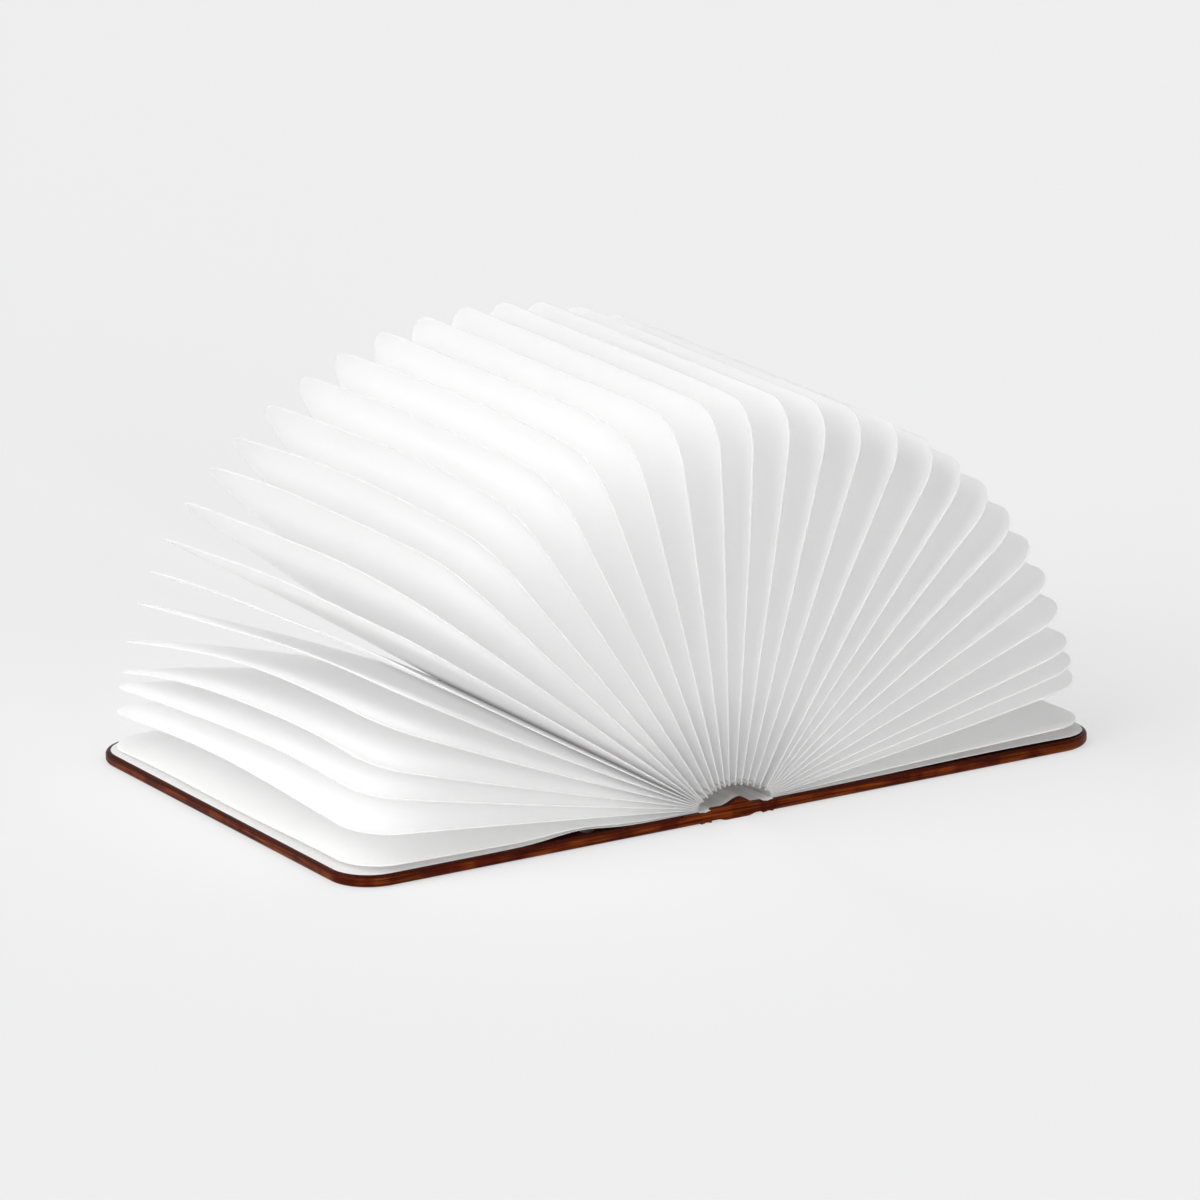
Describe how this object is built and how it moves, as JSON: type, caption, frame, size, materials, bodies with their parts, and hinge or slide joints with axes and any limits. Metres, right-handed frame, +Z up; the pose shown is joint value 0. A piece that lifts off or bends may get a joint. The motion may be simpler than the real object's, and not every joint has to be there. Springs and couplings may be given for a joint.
{
  "type": "folding book lamp",
  "caption": "Book-shaped folding lamp: two wooden covers hinged to a hollow spine with a light strip, opening a fan of folded white paper leaves that glows.",
  "frame": {"origin": "centre of the footprint on the surface it stands on, under the middle of the spine", "axes": "+X across both open covers to the right, +Y along the spine to the far end with the charging socket, +Z up through the middle leaf"},
  "size_m": [0.35, 0.215, 0.1671],
  "materials": {
    "wood": "gloss lacquer on dark brown veneer",
    "leather": "smooth brown leather",
    "leaf_paper": "matte white spun paper, lets light through",
    "endpaper": "matte white paper",
    "diffuser": "frosted white, lets light through",
    "aluminium": "mill finish",
    "white_board": "white solder mask",
    "light_chip": "clear yellow silicone",
    "cell_pouch": "foil pouch",
    "wire_sleeve": "smooth sleeve",
    "green_board": "green solder mask",
    "steel": "plated steel",
    "black_chip": "moulded epoxy",
    "magnet": "nickel plate"
  },
  "bodies": {
    "spine": {"spine_board": "wood", "front_end_cap": "wood", "rear_end_cap": "wood", "diffuser": "diffuser", "reflector_plate": "aluminium", "led_board": "white_board", "led_chips": "light_chip", "battery_cells": "cell_pouch", "wiring": "wire_sleeve", "control_board": "green_board", "control_board_screws": "steel", "charging_socket": "steel", "hall_sensor": "black_chip", "left_hinge_leather": "leather", "right_hinge_leather": "leather", "inner_fold_strip": "leaf_paper"},
    "left_cover": {"left_cover_board": "wood", "left_endpaper": "endpaper", "left_magnets": "magnet", "left_switch_magnet": "magnet"},
    "right_cover": {"right_cover_board": "wood", "right_endpaper": "endpaper", "right_magnets": "magnet"},
    "leaf_01_body": {"leaf_01": "leaf_paper"},
    "leaf_02_body": {"leaf_02": "leaf_paper"},
    "leaf_03_body": {"leaf_03": "leaf_paper"},
    "leaf_04_body": {"leaf_04": "leaf_paper"},
    "leaf_05_body": {"leaf_05": "leaf_paper"},
    "leaf_06_body": {"leaf_06": "leaf_paper"},
    "leaf_07_body": {"leaf_07": "leaf_paper"},
    "leaf_08_body": {"leaf_08": "leaf_paper"},
    "leaf_09_body": {"leaf_09": "leaf_paper"},
    "leaf_10_body": {"leaf_10": "leaf_paper"},
    "leaf_11_body": {"leaf_11": "leaf_paper"},
    "leaf_12_body": {"leaf_12": "leaf_paper"},
    "leaf_13_body": {"leaf_13": "leaf_paper"},
    "leaf_14_body": {"leaf_14": "leaf_paper"},
    "leaf_15_body": {"leaf_15": "leaf_paper"},
    "leaf_16_body": {"leaf_16": "leaf_paper"},
    "leaf_17_body": {"leaf_17": "leaf_paper"},
    "leaf_18_body": {"leaf_18": "leaf_paper"},
    "leaf_19_body": {"leaf_19": "leaf_paper"},
    "leaf_20_body": {"leaf_20": "leaf_paper"},
    "leaf_21_body": {"leaf_21": "leaf_paper"},
    "leaf_22_body": {"leaf_22": "leaf_paper"},
    "leaf_23_body": {"leaf_23": "leaf_paper"},
    "leaf_24_body": {"leaf_24": "leaf_paper"},
    "leaf_25_body": {"leaf_25": "leaf_paper"},
    "leaf_26_body": {"leaf_26": "leaf_paper"},
    "leaf_27_body": {"leaf_27": "leaf_paper"},
    "leaf_28_body": {"leaf_28": "leaf_paper"},
    "leaf_29_body": {"leaf_29": "leaf_paper"},
    "leaf_30_body": {"leaf_30": "leaf_paper"},
    "leaf_31_body": {"leaf_31": "leaf_paper"},
    "leaf_32_body": {"leaf_32": "leaf_paper"},
    "leaf_33_body": {"leaf_33": "leaf_paper"}
  },
  "joints": [
    {"name": "left_cover_hinge", "type": "hinge", "parent": "spine", "child": "left_cover", "pos_m": [-0.017, 0, 0.00475], "axis": [0, 1, 0], "range_deg": [-94.3, 90], "deforming": ["left_hinge_leather", "inner_fold_strip"]},
    {"name": "right_cover_hinge", "type": "hinge", "parent": "spine", "child": "right_cover", "pos_m": [0.017, 0, 0.00475], "axis": [0, -1, 0], "range_deg": [-94.3, 90], "deforming": ["right_hinge_leather", "inner_fold_strip"]},
    {"name": "leaf_01_root", "type": "hinge", "parent": "spine", "child": "leaf_01_body", "pos_m": [-0.017, 0, 0.00475], "axis": [0, 1, 0], "range_deg": [-93.13, 88.89]},
    {"name": "leaf_02_root", "type": "hinge", "parent": "spine", "child": "leaf_02_body", "pos_m": [-0.017, 0, 0.00475], "axis": [0, 1, 0], "range_deg": [-87.8, 83.8]},
    {"name": "leaf_03_root", "type": "hinge", "parent": "spine", "child": "leaf_03_body", "pos_m": [-0.017, 0, 0.00475], "axis": [0, 1, 0], "range_deg": [-83.49, 79.68]},
    {"name": "leaf_04_root", "type": "hinge", "parent": "spine", "child": "leaf_04_body", "pos_m": [-0.017, 0, 0.00475], "axis": [0, 1, 0], "range_deg": [-79.05, 75.45]},
    {"name": "leaf_05_root", "type": "hinge", "parent": "spine", "child": "leaf_05_body", "pos_m": [-0.017, 0, 0.00475], "axis": [0, 1, 0], "range_deg": [-73.88, 70.51]},
    {"name": "leaf_06_root", "type": "hinge", "parent": "spine", "child": "leaf_06_body", "pos_m": [-0.017, 0, 0.00475], "axis": [0, 1, 0], "range_deg": [-69.1, 65.95]},
    {"name": "leaf_07_root", "type": "hinge", "parent": "spine", "child": "leaf_07_body", "pos_m": [-0.017, 0, 0.00475], "axis": [0, 1, 0], "range_deg": [-64.69, 61.75]},
    {"name": "leaf_08_root", "type": "hinge", "parent": "spine", "child": "leaf_08_body", "pos_m": [-0.017, 0, 0.00475], "axis": [0, 1, 0], "range_deg": [-60.06, 57.32]},
    {"name": "leaf_09_root", "type": "hinge", "parent": "spine", "child": "leaf_09_body", "pos_m": [-0.017, 0, 0.00475], "axis": [0, 1, 0], "range_deg": [-54.62, 52.13]},
    {"name": "leaf_10_root", "type": "hinge", "parent": "spine", "child": "leaf_10_body", "pos_m": [-0.017, 0, 0.00475], "axis": [0, 1, 0], "range_deg": [-48.38, 46.17]},
    {"name": "leaf_11_root", "type": "hinge", "parent": "spine", "child": "leaf_11_body", "pos_m": [-0.017, 0, 0.00475], "axis": [0, 1, 0], "range_deg": [-42.48, 40.55]},
    {"name": "leaf_12_root", "type": "hinge", "parent": "spine", "child": "leaf_12_body", "pos_m": [-0.01392, 0, 0.00634], "axis": [0, 1, 0], "range_deg": [-35.76, 34.13]},
    {"name": "leaf_13_root", "type": "hinge", "parent": "spine", "child": "leaf_13_body", "pos_m": [-0.01481, 0, 0.0063], "axis": [0, 1, 0], "range_deg": [-28.85, 27.54]},
    {"name": "leaf_14_root", "type": "hinge", "parent": "spine", "child": "leaf_14_body", "pos_m": [-0.01695, 0, 0.00571], "axis": [0, 1, 0], "range_deg": [-21.79, 20.79]},
    {"name": "leaf_15_root", "type": "hinge", "parent": "spine", "child": "leaf_15_body", "pos_m": [-0.02221, 0, 0.00398], "axis": [0, 1, 0], "range_deg": [-14.6, 13.94]},
    {"name": "leaf_16_root", "type": "hinge", "parent": "spine", "child": "leaf_16_body", "pos_m": [-0.03988, 0, -0.00197], "axis": [0, 1, 0], "range_deg": [-7.33, 7]},
    {"name": "leaf_17_sink", "type": "slide", "parent": "spine", "child": "leaf_17_body", "axis": [0.3131, 0, -0.9497], "range_m": [-0.00503, 0.0048]},
    {"name": "leaf_18_root", "type": "hinge", "parent": "spine", "child": "leaf_18_body", "pos_m": [0.06248, 0, 0.02458], "axis": [0, -1, 0], "range_deg": [-4.31, 4.12]},
    {"name": "leaf_19_root", "type": "hinge", "parent": "spine", "child": "leaf_19_body", "pos_m": [0.02589, 0, 0.01327], "axis": [0, -1, 0], "range_deg": [-10.72, 10.23]},
    {"name": "leaf_20_root", "type": "hinge", "parent": "spine", "child": "leaf_20_body", "pos_m": [0.01754, 0, 0.01015], "axis": [0, -1, 0], "range_deg": [-17.27, 16.48]},
    {"name": "leaf_21_root", "type": "hinge", "parent": "spine", "child": "leaf_21_body", "pos_m": [0.01448, 0, 0.00846], "axis": [0, -1, 0], "range_deg": [-23.97, 22.88]},
    {"name": "leaf_22_root", "type": "hinge", "parent": "spine", "child": "leaf_22_body", "pos_m": [0.01336, 0, 0.00719], "axis": [0, -1, 0], "range_deg": [-30.81, 29.4]},
    {"name": "leaf_23_root", "type": "hinge", "parent": "spine", "child": "leaf_23_body", "pos_m": [0.017, 0, 0.00475], "axis": [0, -1, 0], "range_deg": [-37.77, 36.05]},
    {"name": "leaf_24_root", "type": "hinge", "parent": "spine", "child": "leaf_24_body", "pos_m": [0.017, 0, 0.00475], "axis": [0, -1, 0], "range_deg": [-44.08, 42.07]},
    {"name": "leaf_25_root", "type": "hinge", "parent": "spine", "child": "leaf_25_body", "pos_m": [0.017, 0, 0.00475], "axis": [0, -1, 0], "range_deg": [-50.44, 48.14]},
    {"name": "leaf_26_root", "type": "hinge", "parent": "spine", "child": "leaf_26_body", "pos_m": [0.017, 0, 0.00475], "axis": [0, -1, 0], "range_deg": [-56.78, 54.19]},
    {"name": "leaf_27_root", "type": "hinge", "parent": "spine", "child": "leaf_27_body", "pos_m": [0.017, 0, 0.00475], "axis": [0, -1, 0], "range_deg": [-63.01, 60.14]},
    {"name": "leaf_28_root", "type": "hinge", "parent": "spine", "child": "leaf_28_body", "pos_m": [0.017, 0, 0.00475], "axis": [0, -1, 0], "range_deg": [-69.02, 65.87]},
    {"name": "leaf_29_root", "type": "hinge", "parent": "spine", "child": "leaf_29_body", "pos_m": [0.017, 0, 0.00475], "axis": [0, -1, 0], "range_deg": [-74.68, 71.28]},
    {"name": "leaf_30_root", "type": "hinge", "parent": "spine", "child": "leaf_30_body", "pos_m": [0.017, 0, 0.00475], "axis": [0, -1, 0], "range_deg": [-80.45, 76.78]},
    {"name": "leaf_31_root", "type": "hinge", "parent": "spine", "child": "leaf_31_body", "pos_m": [0.017, 0, 0.00475], "axis": [0, -1, 0], "range_deg": [-84.5, 80.65]},
    {"name": "leaf_32_root", "type": "hinge", "parent": "spine", "child": "leaf_32_body", "pos_m": [0.017, 0, 0.00475], "axis": [0, -1, 0], "range_deg": [-87.42, 83.43]},
    {"name": "leaf_33_root", "type": "hinge", "parent": "spine", "child": "leaf_33_body", "pos_m": [0.017, 0, 0.00475], "axis": [0, -1, 0], "range_deg": [-91.95, 87.76]}
  ],
  "couplings": [
    {"joint": "leaf_01_root", "follows": "left_cover_hinge", "ratio": 0.98751},
    {"joint": "leaf_02_root", "follows": "left_cover_hinge", "ratio": 0.93098},
    {"joint": "leaf_03_root", "follows": "left_cover_hinge", "ratio": 0.88523},
    {"joint": "leaf_04_root", "follows": "left_cover_hinge", "ratio": 0.83818},
    {"joint": "leaf_05_root", "follows": "left_cover_hinge", "ratio": 0.78337},
    {"joint": "leaf_06_root", "follows": "left_cover_hinge", "ratio": 0.7327},
    {"joint": "leaf_07_root", "follows": "left_cover_hinge", "ratio": 0.68595},
    {"joint": "leaf_08_root", "follows": "left_cover_hinge", "ratio": 0.63682},
    {"joint": "leaf_09_root", "follows": "left_cover_hinge", "ratio": 0.57914},
    {"joint": "leaf_10_root", "follows": "left_cover_hinge", "ratio": 0.5129},
    {"joint": "leaf_11_root", "follows": "left_cover_hinge", "ratio": 0.4504},
    {"joint": "leaf_12_root", "follows": "left_cover_hinge", "ratio": 0.37911},
    {"joint": "leaf_13_root", "follows": "left_cover_hinge", "ratio": 0.30585},
    {"joint": "leaf_14_root", "follows": "left_cover_hinge", "ratio": 0.23094},
    {"joint": "leaf_15_root", "follows": "left_cover_hinge", "ratio": 0.15474},
    {"joint": "leaf_16_root", "follows": "left_cover_hinge", "ratio": 0.077641},
    {"joint": "leaf_17_sink", "follows": "left_cover_hinge", "m_per_rad": 0.00305},
    {"joint": "leaf_18_root", "follows": "right_cover_hinge", "ratio": 0.045632},
    {"joint": "leaf_19_root", "follows": "right_cover_hinge", "ratio": 0.11354},
    {"joint": "leaf_20_root", "follows": "right_cover_hinge", "ratio": 0.18303},
    {"joint": "leaf_21_root", "follows": "right_cover_hinge", "ratio": 0.25407},
    {"joint": "leaf_22_root", "follows": "right_cover_hinge", "ratio": 0.32659},
    {"joint": "leaf_23_root", "follows": "right_cover_hinge", "ratio": 0.40039},
    {"joint": "leaf_24_root", "follows": "right_cover_hinge", "ratio": 0.46734},
    {"joint": "leaf_25_root", "follows": "right_cover_hinge", "ratio": 0.53478},
    {"joint": "leaf_26_root", "follows": "right_cover_hinge", "ratio": 0.60201},
    {"joint": "leaf_27_root", "follows": "right_cover_hinge", "ratio": 0.66807},
    {"joint": "leaf_28_root", "follows": "right_cover_hinge", "ratio": 0.73178},
    {"joint": "leaf_29_root", "follows": "right_cover_hinge", "ratio": 0.79184},
    {"joint": "leaf_30_root", "follows": "right_cover_hinge", "ratio": 0.85305},
    {"joint": "leaf_31_root", "follows": "right_cover_hinge", "ratio": 0.89601},
    {"joint": "leaf_32_root", "follows": "right_cover_hinge", "ratio": 0.92689},
    {"joint": "leaf_33_root", "follows": "right_cover_hinge", "ratio": 0.97499}
  ]
}
